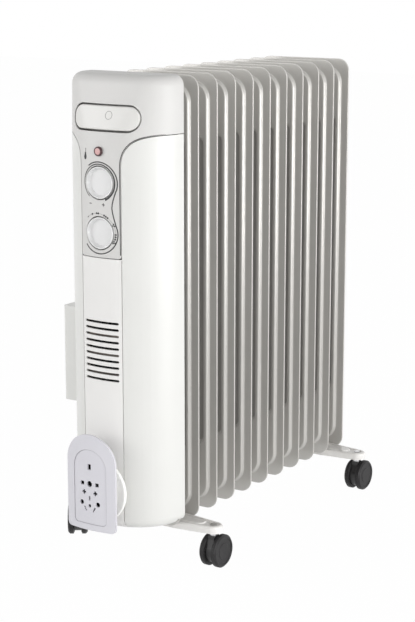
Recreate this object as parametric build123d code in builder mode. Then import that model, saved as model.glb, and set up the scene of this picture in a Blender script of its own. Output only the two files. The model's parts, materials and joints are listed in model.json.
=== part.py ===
from build123d import *
import os
from math import sqrt

# Oil filled radiator heater on casters. Millimetres, +Z up, front towards -Y.
# The origin is on the floor, below the middle of the fins' width and of the part's length.

# Fin pack
fin_count = 11
fin_pitch = 43.0
fin_width = 150.0
fin_height = 582.0
fin_corner = 17.0
fin_lift = 53.0
flange_width = 13.0
flange_thick = 2.4
bulge_rise = 5.0
bulge_corner = 15.0
bulge_taper = 35.0
bulge_round = 2.4
web_width = 98.0
web_top_margin = 85.0
web_bottom_margin = 80.0
web_corner = 16.0
web_depth = 3.6
web_taper = 30.0
hub_radius = 22.0
hub_bore = 17.0
hub_inset = 45.0
hub_nose = 13.0

# Heating element in the lower hubs
element_tube = 4.2
element_bend = 8.0
element_end_gap = 12.0
plug_fit = 0.1
plug_depth = 8.0
plug_head_radius = 21.0
plug_head_thick = 3.0
element_head_radius = 24.0
element_head_thick = 4.0
terminal_radius = 2.5
terminal_length = 14.0

# Control box shell
wall = 2.2
fin_clear = 0.5
roof_clear = 1.5
box_depth = 67.0
box_back = 6.0
box_foot_gap = 7.0
front_radius = 125.0
side_radius = 71.0
lean_drop = 56.0
lean_depth = 20.0
lean_front_radius = 300.0
lean_side_radius = 40.0
lean_steps = 4
roof_round = 14.0
floor_round = 12.0
panel_half = 31.0
seam_gap = 1.0
tongue_drop = 30.5
tongue_corner = 3.0
seam_start_drop = 59.0
seam_end_drop = 20.5

# Screw posts of the box
boss_radius = 4.0
boss_hole = 2.05
fascia_post_x = 52.0
fascia_post_rise = 27.0
panel_post_x = 22.0
panel_post_rise = 10.0
panel_post_drop = 15.0
cover_post_x = 56.0
cover_post_low = 60.0
cover_post_drop = 34.0

# Steel shield behind the box
shield_thick = 1.0
shield_margin = 3.0

# Vent slots in the centre panel
slot_count = 10
slot_pitch = 8.2
slot_length = 52.0
slot_height = 3.2
slot_drop = 120.0

# Handle in the fascia; the lamp, the dials, the tongue and the slots follow below it
handle_middle = 533.0
handle_headroom = 42.0
handle_width = 98.6
handle_height = 29.4
handle_corner = 14.0
handle_thick = 7.0
handle_gap = 2.2
handle_edge = 2.0
handle_pin_radius = 1.6
handle_pin_rise = 3.0
handle_pin_back = 13.045
handle_pin_reach = 8.0
handle_ear = 3.6
handle_ear_margin = 1.4
handle_swing_room = 4.0
pocket_wall = 2.0
pocket_depth = 30.0
running_fit = 0.05
touch_gap = 0.1

# Knobs, shafts and their switches
thermostat_drop = 39.0
dial_pitch = 63.1
knob_radius = 20.0
knob_lip = 1.2
knob_floor_radius = 16.3
knob_dish = 5.0
knob_rim_depth = 66.8
knob_edge = 0.5
knob_seat_gap = 1.6
knob_seat_depth = 56.0
knob_float = 0.4
seat_pad_depth = 53.4
shaft_radius = 3.0
shaft_clear = 0.5
shaft_in_body = 10.0
shaft_in_knob = 3.6
switch_width = 36.0
switch_depth = 22.0
switch_corner = 3.0
blade_thick = 0.8
blade_width = 6.0
blade_length = 7.0

# Indicator lamp
lamp_drop = 40.4
lamp_lift = 0.7175
lamp_radius = 3.8
lamp_flange = 5.2
lamp_length = 16.0
lamp_dome = 2.2
lamp_round = 1.76

# Fan heater behind the slots
fan_axis_depth = 36.0
fan_radius = 18.0
fan_length = 86.0
fan_disc = 2.0
fan_blades = 16
fan_blade_width = 5.0
fan_blade_thick = 1.2
fan_blade_tilt = 30.0
fan_blade_inset = 0.6
fan_end_gap = 2.5
fan_shaft = 2.5
fan_shaft_reach = 9.0
frame_thick = 1.5
frame_half = 26.0
frame_front = 60.0
motor_radius = 17.0
motor_height = 30.0
motor_ear = 4.0
heater_thick = 4.5
heater_bar = 3.0
heater_bars = 7

# Cut-out, terminal block and cord gland
cutout_radius = 8.0
cutout_thick = 6.0
cutout_tab_length = 25.6
cutout_tab_thick = 1.0
cutout_spot = (46.0, 130.0)
terminal_block = (34.0, 14.0, 16.0)
terminal_spot = (-46.0, 130.0)
gland_radius = 6.0
gland_flange = 9.0
gland_lip = 2.0
gland_bore = 4.0
gland_length = 16.0
gland_depth = 40.0

# Cord winder
winder_height = 58.0
winder_seat = 20.0
winder_seat_gap = 1.5
winder_seat_depth = 65.4
winder_pad_depth = 62.0
winder_flange_radius = 41.0
winder_flange_gap = 3.0
winder_flange_thick = 5.0
winder_flange_round = 2.0
winder_hub_half = 24.0
winder_hub_bottom = 33.0
winder_hub_top = 100.0
winder_hub_wall = 2.2
plate_stand = 29.0
plate_radius = 150.0
plate_thick = 3.0
plate_width = 76.0
plate_bottom = 10.0
plate_height = 126.5
plate_corner = 6.0
plate_inset = 12.5
plate_inset_top = 19.5
plate_inset_bottom = 8.0
plate_inset_depth = 0.8

# Parking holes for the plug, with heights above the plate's lower edge
key_hole = (5.0, 7.5)
key_rise = 84.0
blade_hole = (5.6, 5.0)
blade_spread = 22.8
socket_hole = 4.0
socket_rise = 61.5
cross_length = 6.4
cross_width = 2.6
cross_spread = 17.6
cross_rise = 50.0
middle_slot = (6.0, 2.4)
middle_rise = 42.5
pin_hole = 3.2
pin_spread = 25.4
pin_rise = 35.7
small_hole = 2.2
small_rise = 32.5
slant_slot = (7.5, 2.0)
slant_spread = 13.6
slant_rise = 28.0
slant_angle = 60.0

# Side housing on the left cover
housing_reach = 13.5
housing_front = 28.0
housing_bottom = 155.0
housing_height = 126.5
housing_round = 4.0

# Feet
foot_half = 112.0
foot_width = 38.0
foot_tip = 12.5
foot_shoulder = 62.0
foot_sheet = 2.0
foot_height = 9.5
foot_rise = 5.5
foot_round = 3.5
foot_bead = 5.5
foot_dish = 1.2
emboss_middle = 66.0
emboss_length = 66.0
emboss_width = 19.0
emboss_rise = 1.6
emboss_taper = 40.0
saddle_half = 34.0
saddle_length = 26.0
saddle_fit = 0.15
u_bolt_rod = 2.5
u_bolt_fit = 0.1
u_bolt_tail = 47.0
nut_radius = 5.0
nut_height = 5.0
nut_wing = 5.5
nut_wing_thick = 1.8

# Casters
wheel_radius = 22.0
wheel_thick = 8.0
wheel_edge = 2.2
wheel_dish_radius = 18.0
wheel_dish = 1.0
wheel_cap_radius = 11.0
wheel_cap_rise = 0.5
wheel_gap = 0.3
fork_thick = 9.4
fork_axle_radius = 17.5
fork_neck_radius = 6.0
fork_top = 44.0
caster_trail = 6.0
front_left_turn = 34.0
axle_radius = 2.5
axle_cover = 1.6
stem_radius = 3.0
stem_collar = 5.0
stem_head = 4.6
stem_head_thick = 1.4
stem_depth = 8.0
slide_gap = 0.3

# Screws that hold the covers to the shield
screw_radius = 2.0
screw_head = 3.5
screw_head_thick = 2.0
screw_length = 10.0

# Lengths that follow from the sizes above
plate_front = box_depth + plate_stand
foot_slot = fin_pitch / 2
rear_reach = (fin_count - 1) * fin_pitch - foot_slot + caster_trail + wheel_radius
fin_y0 = (plate_front - rear_reach) / 2
fin_middle = fin_lift + fin_height / 2
lower_hub = fin_lift + hub_inset
upper_hub = fin_lift + fin_height - hub_inset
bulge_half = flange_thick / 2 + bulge_rise
box_half = fin_width / 2 + fin_clear + wall
box_bottom = fin_lift + box_foot_gap
handle_z = fin_lift + handle_middle
box_top = max(fin_lift + fin_height + roof_clear + wall, handle_z + handle_headroom)
shield_front = fin_y0 - hub_nose - shield_thick
lamp_z = handle_z - lamp_drop
thermostat_z = lamp_z - thermostat_drop
selector_z = thermostat_z - dial_pitch
tongue_z = selector_z - tongue_drop
slot_z = tongue_z - slot_drop
seam_start_z = handle_z - seam_start_drop
seam_end_z = handle_z - seam_end_drop
lean_start_z = handle_z - lean_drop
handle_pin_z = handle_z + handle_pin_rise
winder_z = fin_lift + winder_height
front_foot_y = fin_y0 + foot_slot
rear_foot_y = fin_y0 + (fin_count - 1) * fin_pitch - foot_slot
foot_top = fin_lift + foot_rise
foot_bottom = foot_top - foot_height
forward = (0, -1, 0)


def ease(share):
    """Share of the lean at a share of its height, level at both ends."""
    return share**2 * (3 - 2 * share)


def front_at(height):
    """Y of the middle of the box's front, at a height above the start of its lean."""
    share = (height - lean_start_z) / (box_top - lean_start_z)
    return fin_y0 - box_depth + lean_depth * ease(share)


handle_pin_y = front_at(handle_z) + handle_pin_back


def up_plane(height):
    return Plane.XY.offset(height)


def front_plane(y):
    """Upright plane at y, seen from the front: extrusions go forward, to -Y."""
    return Plane.XZ.offset(-y)


def side_plane(x):
    """Upright plane at x with Y and Z as its axes: extrusions go to +X."""
    return Plane.YZ.offset(x)


def save(part, label):
    part.label = label
    export_step(part, f"parts/{label}.step")


os.makedirs("parts", exist_ok=True)


# Fins: two pressed sheets seam-welded at a flat rim, with a raised oil
# channel round a sunken web, and hubs that join each fin to the next.
def make_fin(index):
    y = fin_y0 + index * fin_pitch
    first = index == 0
    last = index == fin_count - 1
    hub_front = hub_nose if first else fin_pitch / 2
    hub_rear = bulge_half if last else fin_pitch / 2
    bulge_size = (fin_width - 2 * flange_width, fin_height - 2 * flange_width)
    web_height = fin_height - web_top_margin - web_bottom_margin
    web_middle = fin_middle + (web_bottom_margin - web_top_margin) / 2
    with BuildPart() as fin:
        with BuildSketch(front_plane(y)):
            with Locations((0, fin_middle)):
                RectangleRounded(fin_width, fin_height, fin_corner)
        extrude(amount=flange_thick / 2, both=True)
        for facing in (-1, 1):
            face = Plane((0, y, 0), x_dir=(1, 0, 0), z_dir=(0, facing, 0))
            turn = -facing
            with BuildSketch(face):
                with Locations((0, turn * fin_middle)):
                    RectangleRounded(*bulge_size, bulge_corner)
            extrude(amount=bulge_half, taper=bulge_taper)
        rims = fin.edges().group_by(Axis.Y)
        fillet(rims[0] + rims[-1], bulge_round)
        for facing in (-1, 1):
            crown = Plane((0, y + facing * bulge_half, 0), x_dir=(1, 0, 0), z_dir=(0, -facing, 0))
            with BuildSketch(crown):
                with Locations((0, facing * web_middle)):
                    RectangleRounded(web_width, web_height, web_corner)
            extrude(amount=web_depth, taper=web_taper, mode=Mode.SUBTRACT)
        with BuildSketch(front_plane(y + hub_rear)):
            with Locations((0, lower_hub), (0, upper_hub)):
                Circle(hub_radius)
        extrude(amount=hub_front + hub_rear)
        bore_rear = -flange_thick / 2 if last else hub_rear
        with BuildSketch(front_plane(y + bore_rear)):
            with Locations((0, lower_hub), (0, upper_hub)):
                Circle(hub_bore)
        extrude(amount=hub_front + bore_rear, mode=Mode.SUBTRACT)
    return fin.part


for fin_index in range(fin_count):
    save(make_fin(fin_index), f"fin_{fin_index + 1:02d}")


# Heating element: a hairpin tube that lies in the lower hubs
hub_front_y = fin_y0 - hub_nose
element_rear = fin_y0 + (fin_count - 1) * fin_pitch - element_end_gap - element_bend
element_front = shield_front - element_head_thick
with BuildPart() as heating_element:
    with BuildLine():
        leg_low = lower_hub - element_bend
        leg_out = Line((0, element_front, leg_low), (0, element_rear, leg_low))
        bend = ThreePointArc(
            leg_out @ 1,
            (0, element_rear + element_bend, lower_hub),
            (0, element_rear, lower_hub + element_bend),
        )
        Line(bend @ 1, (0, element_front, lower_hub + element_bend))
    with BuildSketch(Plane(leg_out @ 0, z_dir=(0, 1, 0))):
        Circle(element_tube)
    sweep()
save(heating_element.part, "heating_element")

with BuildPart() as element_flange:
    with BuildSketch(front_plane(shield_front)):
        with Locations((0, lower_hub)):
            Circle(element_head_radius)
    extrude(amount=element_head_thick)
    with BuildSketch(front_plane(hub_front_y + plug_depth)):
        with Locations((0, lower_hub)):
            Circle(hub_bore - plug_fit)
    extrude(amount=plug_depth + shield_thick)
    with BuildSketch(front_plane(hub_front_y + plug_depth)):
        with Locations((0, lower_hub - element_bend), (0, lower_hub + element_bend)):
            Circle(element_tube + running_fit)
    extrude(amount=plug_depth + shield_thick + element_head_thick, mode=Mode.SUBTRACT)
    with BuildSketch(front_plane(element_front)):
        with Locations((-element_bend, lower_hub), (element_bend, lower_hub)):
            Circle(terminal_radius)
    extrude(amount=terminal_length)
save(element_flange.part, "element_flange")

with BuildPart() as filler_plug:
    with BuildSketch(front_plane(hub_front_y + plug_depth)):
        with Locations((0, upper_hub)):
            Circle(hub_bore - plug_fit)
    extrude(amount=plug_depth + shield_thick)
    with BuildSketch(front_plane(shield_front)):
        with Locations((0, upper_hub)):
            RegularPolygon(plug_head_radius, 6)
    extrude(amount=plug_head_thick)
save(filler_plug.part, "filler_plug")


# Control box: a shell with an arched front and rounded front corners,
# which leans back towards the top. Its covers are cut from this one form.
def box_section(height, lean, inset):
    half = box_half - inset
    arc = front_radius + lean * (lean_front_radius - front_radius) - inset
    corner = side_radius + lean * (lean_side_radius - side_radius) - inset
    front = fin_y0 - (box_depth - lean * lean_depth - inset)
    edge = front + arc - sqrt(arc**2 - half**2)
    back = fin_y0 + box_back + (wall if inset > 0 else 0)
    centre_to_back = front + arc - fin_y0 - box_back
    corner_room = (arc**2 - half**2 - centre_to_back**2) / (2 * (arc - half))
    with BuildSketch(up_plane(height)) as section:
        with BuildLine():
            ThreePointArc((-half, edge), (0, front), (half, edge))
            Polyline((half, edge), (half, back), (-half, back), (-half, edge))
        make_face()
        fillet(section.vertices().group_by(Axis.Y)[0], min(corner, 0.99 * corner_room))
    return section.sketch


def box_form(inset):
    """The box as a solid, drawn in by inset on every side but the open back."""
    start = lean_start_z
    top = box_top - inset
    bottom = box_bottom + inset
    with BuildPart() as form:
        add(box_section(bottom, 0, inset))
        extrude(amount=start - bottom)
        for step in range(lean_steps + 1):
            share = step / lean_steps
            add(box_section(start + share * (top - start), ease(share), inset))
        loft()
        front_edges = form.edges().filter_by(lambda edge: edge.center().Y < fin_y0 + box_back - 1)
        fillet(front_edges.group_by(Axis.Z)[-1], max(roof_round - inset, wall))
        front_edges = form.edges().filter_by(lambda edge: edge.center().Y < fin_y0 + box_back - 1)
        fillet(front_edges.group_by(Axis.Z)[0], max(floor_round - inset, wall))
    return form.part


box_outer = box_form(0)
box_inner = box_form(wall)
box_liner = box_form(wall + touch_gap)
cut_depth = box_depth + box_back + plate_stand


def cover_region(side, grow):
    """Front view of one side cover, from the panel's edge to the curved seam."""
    inner = panel_half - grow
    outer = box_half + plate_stand
    low = box_bottom - wall
    start = seam_start_z
    end = seam_end_z + grow
    with BuildSketch(front_plane(fin_y0 + box_back + wall)) as region:
        with BuildLine():
            Polyline((side * inner, start), (side * inner, low), (side * outer, low), (side * outer, end))
            Line((side * outer, end), (side * box_half, end))
            Spline((side * box_half, end), (side * inner, start), tangents=((-side, 0), (0, -1)))
        make_face()
    return region.sketch


def fin_notch():
    """Plan of the room that the box's floor leaves for the first fin."""
    front = fin_y0 - bulge_half - fin_clear
    with BuildSketch(up_plane(box_bottom - wall)) as notch:
        with Locations((0, front)):
            Rectangle(fin_width + 2 * fin_clear, box_depth, align=(Align.CENTER, Align.MIN))
    return notch.sketch


notch_height = wall + floor_round


def pillars(spots, radius, back):
    """Round pillars from the plane at back to the box's skin."""
    with BuildPart() as pillar:
        with BuildSketch(front_plane(back)):
            with Locations(*spots):
                Circle(radius)
        extrude(amount=cut_depth)
        add(box_outer, mode=Mode.INTERSECT)
    return pillar.part


def posts(spots):
    """Screw posts from the shield to the box's skin, with their pilot holes."""
    with BuildPart() as post:
        add(pillars(spots, boss_radius, shield_front))
        with BuildSketch(front_plane(shield_front)):
            with Locations(*spots):
                Circle(boss_hole)
        extrude(amount=screw_length, mode=Mode.SUBTRACT)
    return post.part


fascia_post_z = handle_z + fascia_post_rise
panel_post_z = fin_lift + winder_hub_top + panel_post_rise
cover_post_heights = (fin_lift + cover_post_low, seam_start_z - cover_post_drop)
fascia_posts = [(side * fascia_post_x, fascia_post_z) for side in (-1, 1)]
panel_posts = [(side * panel_post_x, panel_post_z) for side in (-1, 1)]
panel_posts += [(0, tongue_z - panel_post_drop)]
left_posts = [(-cover_post_x, height) for height in cover_post_heights]
right_posts = [(cover_post_x, height) for height in cover_post_heights]
knob_heights = (thermostat_z, selector_z)
knob_spots = [(0, height) for height in knob_heights]
knob_well_radius = knob_radius + knob_seat_gap
knob_seat_y = fin_y0 - knob_seat_depth
seat_pad_y = fin_y0 - seat_pad_depth
opening_size = (handle_width + 2 * handle_gap, handle_height + 2 * handle_gap)
pin_outer = handle_width / 2 + handle_gap + pocket_wall
pin_inner = handle_width / 2 - handle_pin_reach

with BuildPart() as front_fascia:
    add(box_outer)
    add(box_inner, mode=Mode.SUBTRACT)
    with BuildSketch(front_plane(fin_y0 + box_back + wall)):
        with Locations((0, tongue_z)):
            Rectangle(4 * box_half, box_top, align=(Align.CENTER, Align.MIN))
    extrude(amount=cut_depth, mode=Mode.INTERSECT)
    add(cover_region(-1, seam_gap))
    add(cover_region(1, seam_gap))
    extrude(amount=cut_depth, dir=forward, mode=Mode.SUBTRACT)
    fillet(front_fascia.edges().filter_by(Axis.Y).group_by(Axis.Z)[0], tongue_corner)
    add(pillars(knob_spots, knob_well_radius + wall, seat_pad_y))
    with BuildSketch(front_plane(knob_seat_y)):
        with Locations(*knob_spots):
            Circle(knob_well_radius)
    extrude(amount=box_depth, mode=Mode.SUBTRACT)
    with BuildSketch(front_plane(seat_pad_y)):
        with Locations(*knob_spots):
            Circle(shaft_radius + shaft_clear)
        with Locations((0, lamp_z)):
            Circle(lamp_radius + touch_gap)
    extrude(amount=box_depth, mode=Mode.SUBTRACT)
    with BuildSketch(front_plane(handle_pin_y)):
        with Locations((0, handle_z)):
            RectangleRounded(*opening_size, handle_corner + handle_gap)
    extrude(amount=box_depth, both=True, mode=Mode.SUBTRACT)
    with BuildSketch(side_plane(-pin_outer)):
        with Locations((handle_pin_y, handle_pin_z)):
            Circle(handle_pin_radius + running_fit)
    extrude(amount=2 * pin_outer, mode=Mode.SUBTRACT)
    add(posts(fascia_posts))
save(front_fascia.part, "front_fascia")

winder_seat_y = fin_y0 - winder_seat_depth
with BuildPart() as centre_panel:
    add(box_outer)
    add(box_inner, mode=Mode.SUBTRACT)
    with BuildSketch(front_plane(fin_y0 + box_back + wall)):
        with Locations((0, tongue_z - seam_gap)):
            Rectangle(2 * (panel_half - seam_gap), box_top, align=(Align.CENTER, Align.MAX))
    extrude(amount=cut_depth, mode=Mode.INTERSECT)
    with BuildSketch(front_plane(fin_y0 - box_depth / 2)):
        with Locations((0, slot_z)):
            with GridLocations(0, slot_pitch, 1, slot_count):
                SlotOverall(slot_length, slot_height)
    extrude(amount=box_depth, mode=Mode.SUBTRACT)
    add(pillars([(0, winder_z)], winder_seat + winder_seat_gap + wall, fin_y0 - winder_pad_depth))
    with BuildSketch(front_plane(winder_seat_y)):
        with Locations((0, winder_z)):
            Circle(winder_seat + winder_seat_gap)
    extrude(amount=box_depth, mode=Mode.SUBTRACT)
    with BuildSketch(up_plane(box_bottom - wall)):
        with Locations((0, fin_y0 - gland_depth)):
            Circle(gland_radius + touch_gap)
    extrude(amount=3 * wall, mode=Mode.SUBTRACT)
    add(fin_notch())
    extrude(amount=notch_height, mode=Mode.SUBTRACT)
    add(posts(panel_posts))
save(centre_panel.part, "centre_panel")


def make_cover(side, spots):
    with BuildPart() as cover:
        add(box_outer)
        add(box_inner, mode=Mode.SUBTRACT)
        add(cover_region(side, 0))
        extrude(amount=cut_depth, dir=forward, mode=Mode.INTERSECT)
        add(fin_notch())
        extrude(amount=notch_height, mode=Mode.SUBTRACT)
        add(posts(spots))
    return cover.part


save(make_cover(-1, left_posts), "left_cover")
save(make_cover(1, right_posts), "right_cover")

# Steel shield between the hot fins and the plastic box
cover_screw_spots = fascia_posts + panel_posts + left_posts + right_posts
shield_width = 2 * (box_half - wall - shield_margin)
shield_height = box_top - box_bottom - 2 * (wall + shield_margin)
with BuildPart() as heat_shield:
    with BuildSketch(front_plane(fin_y0 - hub_nose)):
        with Locations((0, (box_bottom + box_top) / 2)):
            RectangleRounded(shield_width, shield_height, fin_corner)
        with Locations((0, lower_hub), (0, upper_hub)):
            Circle(hub_bore + touch_gap, mode=Mode.SUBTRACT)
        with Locations(*cover_screw_spots):
            Circle(boss_hole, mode=Mode.SUBTRACT)
    extrude(amount=shield_thick)
save(heat_shield.part, "heat_shield")

with BuildPart() as cover_screws:
    with BuildSketch(front_plane(fin_y0 - hub_nose)):
        with Locations(*cover_screw_spots):
            Circle(screw_radius)
    extrude(amount=screw_length)
    with BuildSketch(front_plane(fin_y0 - hub_nose)):
        with Locations(*cover_screw_spots):
            Circle(screw_head)
    extrude(amount=-screw_head_thick)
save(cover_screws.part, "cover_screws")


# Handle: a pill-shaped bar flush with the fascia that swings out on two stub pins
def pill(width, height, corner, y):
    with BuildSketch(front_plane(y)) as outline:
        with Locations((0, handle_z)):
            RectangleRounded(width, height, corner)
    return outline.sketch


pocket_back_y = fin_y0 - pocket_depth
pocket_inside = (opening_size[0], opening_size[1] + 2 * handle_swing_room)
pocket_outside = (pocket_inside[0] + 2 * pocket_wall, pocket_inside[1] + 2 * pocket_wall)
pocket_corner = handle_corner + handle_gap

with BuildPart() as handle_grip:
    add(box_outer)
    add(box_form(handle_thick), mode=Mode.SUBTRACT)
    add(pill(handle_width, handle_height, handle_corner, pocket_back_y))
    extrude(amount=box_depth, dir=forward, mode=Mode.INTERSECT)
    rim = handle_grip.faces().filter_by(lambda face: face.normal_at().Y < -0.5)
    fillet(rim.edges(), handle_edge)
    for side in (-1, 1):
        with BuildSketch(side_plane(side * (pin_inner - handle_ear_margin))):
            with Locations((handle_pin_y, handle_pin_z)):
                Circle(handle_ear)
        extrude(amount=side * handle_pin_reach)
        with BuildSketch(side_plane(side * pin_inner)):
            with Locations((handle_pin_y, handle_pin_z)):
                Circle(handle_pin_radius + running_fit)
        extrude(amount=side * (pin_outer - pin_inner), mode=Mode.SUBTRACT)
save(handle_grip.part, "handle_grip")

with BuildPart() as handle_pins:
    for side in (-1, 1):
        with BuildSketch(side_plane(side * (pin_inner + slide_gap))):
            with Locations((handle_pin_y, handle_pin_z)):
                Circle(handle_pin_radius)
        extrude(amount=side * (pin_outer - pin_inner - slide_gap))
save(handle_pins.part, "handle_pins")

with BuildPart() as handle_pocket:
    add(pill(*pocket_outside, pocket_corner + pocket_wall, pocket_back_y))
    extrude(amount=box_depth, dir=forward)
    add(box_liner, mode=Mode.INTERSECT)
    add(pill(*pocket_inside, pocket_corner, pocket_back_y - pocket_wall))
    extrude(amount=box_depth, dir=forward, mode=Mode.SUBTRACT)
    with BuildSketch(side_plane(-pin_outer)):
        with Locations((handle_pin_y, handle_pin_z)):
            Circle(handle_pin_radius)
    extrude(amount=2 * pin_outer, mode=Mode.SUBTRACT)
save(handle_pocket.part, "handle_pocket")

# Indicator lamp: a domed lens with its flange on the fascia
lamp_y = front_at(lamp_z) - lamp_lift
with BuildPart() as indicator_lamp:
    with BuildSketch(front_plane(lamp_y)):
        with Locations((0, lamp_z)):
            Circle(lamp_flange)
    extrude(amount=lamp_dome)
    fillet(indicator_lamp.edges().group_by(Axis.Y)[0], lamp_round)
    with BuildSketch(front_plane(lamp_y)):
        with Locations((0, lamp_z)):
            Circle(lamp_radius)
    extrude(amount=-lamp_length)
save(indicator_lamp.part, "indicator_lamp")


# Knobs: dished cups that sit in round wells, pressed on a switch's shaft
knob_back_y = knob_seat_y - knob_float
knob_rim_y = fin_y0 - knob_rim_depth
knob_length = knob_back_y - knob_rim_y
knob_names = ("thermostat", "selector")
for name, height in zip(knob_names, knob_heights):
    with BuildPart() as knob:
        with BuildSketch(Plane((0, knob_back_y, height), x_dir=(1, 0, 0), z_dir=(0, 0, 1))):
            with BuildLine():
                Polyline(
                    (0, 0),
                    (knob_radius, 0),
                    (knob_radius, -knob_length),
                    (knob_radius - knob_lip, -knob_length),
                    (knob_floor_radius, knob_dish - knob_length),
                    (0, knob_dish - knob_length),
                    close=True,
                )
            make_face()
        revolve(axis=Axis((0, knob_back_y, height), (0, 1, 0)))
        fillet(knob.edges().group_by(Axis.Y)[0], knob_edge)
        with BuildSketch(front_plane(knob_back_y)):
            with Locations((0, height)):
                Circle(shaft_radius)
        extrude(amount=shaft_in_knob, mode=Mode.SUBTRACT)
    save(knob.part, f"{name}_knob")

    with BuildPart() as shaft:
        with BuildSketch(front_plane(seat_pad_y + shaft_in_body)):
            with Locations((0, height)):
                Circle(shaft_radius)
        extrude(amount=shaft_in_body + seat_pad_y - knob_back_y + shaft_in_knob)
    save(shaft.part, f"{name}_shaft")

    with BuildPart() as switch:
        with BuildSketch(front_plane(seat_pad_y)):
            with Locations((0, height)):
                RectangleRounded(switch_width, switch_width, switch_corner)
        extrude(amount=-switch_depth)
        with BuildSketch(front_plane(seat_pad_y)):
            with Locations((0, height)):
                Circle(shaft_radius + running_fit)
        extrude(amount=-(shaft_in_body + slide_gap), mode=Mode.SUBTRACT)
        with BuildSketch(front_plane(seat_pad_y + switch_depth)):
            with Locations((0, height)):
                with GridLocations(switch_width / 3, switch_width / 2, 3, 2):
                    Rectangle(blade_thick, blade_width)
        extrude(amount=-blade_length)
    save(switch.part, f"{name}_switch")

# Fan heater: a cage wheel that turns in a bent bracket, a motor and a heater grid
fan_y = fin_y0 - fan_axis_depth
fan_low = slot_z - fan_length / 2
fan_high = fan_low + fan_length
shelf_low = fan_low - fan_end_gap - frame_thick
shelf_high = fan_high + fan_end_gap
with BuildPart() as fan_frame:
    with BuildSketch(side_plane(-frame_half)):
        with BuildLine():
            Polyline(
                (shield_front, shelf_low),
                (fin_y0 - frame_front, shelf_low),
                (fin_y0 - frame_front, shelf_low + frame_thick),
                (shield_front - frame_thick, shelf_low + frame_thick),
                (shield_front - frame_thick, shelf_high),
                (fin_y0 - frame_front, shelf_high),
                (fin_y0 - frame_front, shelf_high + frame_thick),
                (shield_front, shelf_high + frame_thick),
                close=True,
            )
        make_face()
    extrude(amount=2 * frame_half)
    with BuildSketch(up_plane(shelf_low)):
        with Locations((0, fan_y)):
            Circle(fan_shaft + running_fit)
    extrude(amount=shelf_high + frame_thick - shelf_low, mode=Mode.SUBTRACT)
save(fan_frame.part, "fan_frame")

with BuildPart() as fan_wheel:
    with BuildSketch(up_plane(fan_low)):
        with Locations((0, fan_y)):
            Circle(fan_radius)
    extrude(amount=fan_disc)
    with BuildSketch(up_plane(fan_high - fan_disc)):
        with Locations((0, fan_y)):
            Circle(fan_radius)
    extrude(amount=fan_disc)
    with BuildSketch(up_plane(fan_low)):
        with Locations((0, fan_y)):
            with PolarLocations(fan_radius - fan_blade_width / 2 - fan_blade_inset, fan_blades):
                Rectangle(fan_blade_width, fan_blade_thick, rotation=fan_blade_tilt)
    extrude(amount=fan_length)
    with BuildSketch(up_plane(shelf_low)):
        with Locations((0, fan_y)):
            Circle(fan_shaft)
    extrude(amount=shelf_high + frame_thick - shelf_low + fan_shaft_reach)
save(fan_wheel.part, "fan_wheel")

with BuildPart() as fan_motor:
    with BuildSketch(up_plane(shelf_high + frame_thick)):
        with Locations((0, fan_y)):
            Circle(motor_radius)
            Rectangle(2 * (motor_radius + motor_ear), motor_radius)
    extrude(amount=motor_height)
    with BuildSketch(up_plane(shelf_high + frame_thick)):
        with Locations((0, fan_y)):
            Circle(fan_shaft + running_fit)
    extrude(amount=fan_shaft_reach + slide_gap, mode=Mode.SUBTRACT)
save(fan_motor.part, "fan_motor")

with BuildPart() as fan_heater:
    with BuildSketch(front_plane(fin_y0 - frame_front + heater_thick)):
        with Locations((0, (shelf_low + frame_thick + shelf_high) / 2)):
            heater_height = shelf_high - shelf_low - frame_thick
            Rectangle(2 * frame_half, heater_height)
            gap_height = (heater_height - (heater_bars + 1) * heater_bar) / heater_bars
            with GridLocations(0, gap_height + heater_bar, 1, heater_bars):
                Rectangle(2 * (frame_half - heater_bar), gap_height, mode=Mode.SUBTRACT)
    extrude(amount=heater_thick)
save(fan_heater.part, "fan_heater")

# Thermal cut-out and terminal block on the shield, gland in the box's floor
with BuildPart() as thermal_cutout:
    with BuildSketch(front_plane(shield_front)):
        with Locations((cutout_spot[0], fin_lift + cutout_spot[1])):
            SlotOverall(cutout_tab_length, cutout_radius, rotation=90)
    extrude(amount=cutout_tab_thick)
    with BuildSketch(front_plane(shield_front)):
        with Locations((cutout_spot[0], fin_lift + cutout_spot[1])):
            Circle(cutout_radius)
    extrude(amount=cutout_thick)
save(thermal_cutout.part, "thermal_cutout")

with BuildPart() as terminal_strip:
    with BuildSketch(front_plane(shield_front)):
        with Locations((terminal_spot[0], fin_lift + terminal_spot[1])):
            Rectangle(terminal_block[0], terminal_block[2])
    extrude(amount=terminal_block[1])
    with BuildSketch(front_plane(shield_front - terminal_block[1])):
        with Locations((terminal_spot[0], fin_lift + terminal_spot[1])):
            with GridLocations(terminal_block[0] / 3, terminal_block[2] / 2, 3, 2):
                Circle(terminal_radius)
    extrude(amount=-terminal_block[1] / 2, mode=Mode.SUBTRACT)
save(terminal_strip.part, "terminal_strip")

gland_y = fin_y0 - gland_depth
with BuildPart() as cord_gland:
    with BuildSketch(up_plane(box_bottom)):
        with Locations((0, gland_y)):
            Circle(gland_flange)
    extrude(amount=-gland_lip)
    with BuildSketch(up_plane(box_bottom)):
        with Locations((0, gland_y)):
            Circle(gland_radius)
    extrude(amount=gland_length - gland_lip)
    with BuildSketch(up_plane(box_bottom - gland_lip)):
        with Locations((0, gland_y)):
            Circle(gland_bore)
    extrude(amount=gland_length, mode=Mode.SUBTRACT)
save(cord_gland.part, "cord_gland")

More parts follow.
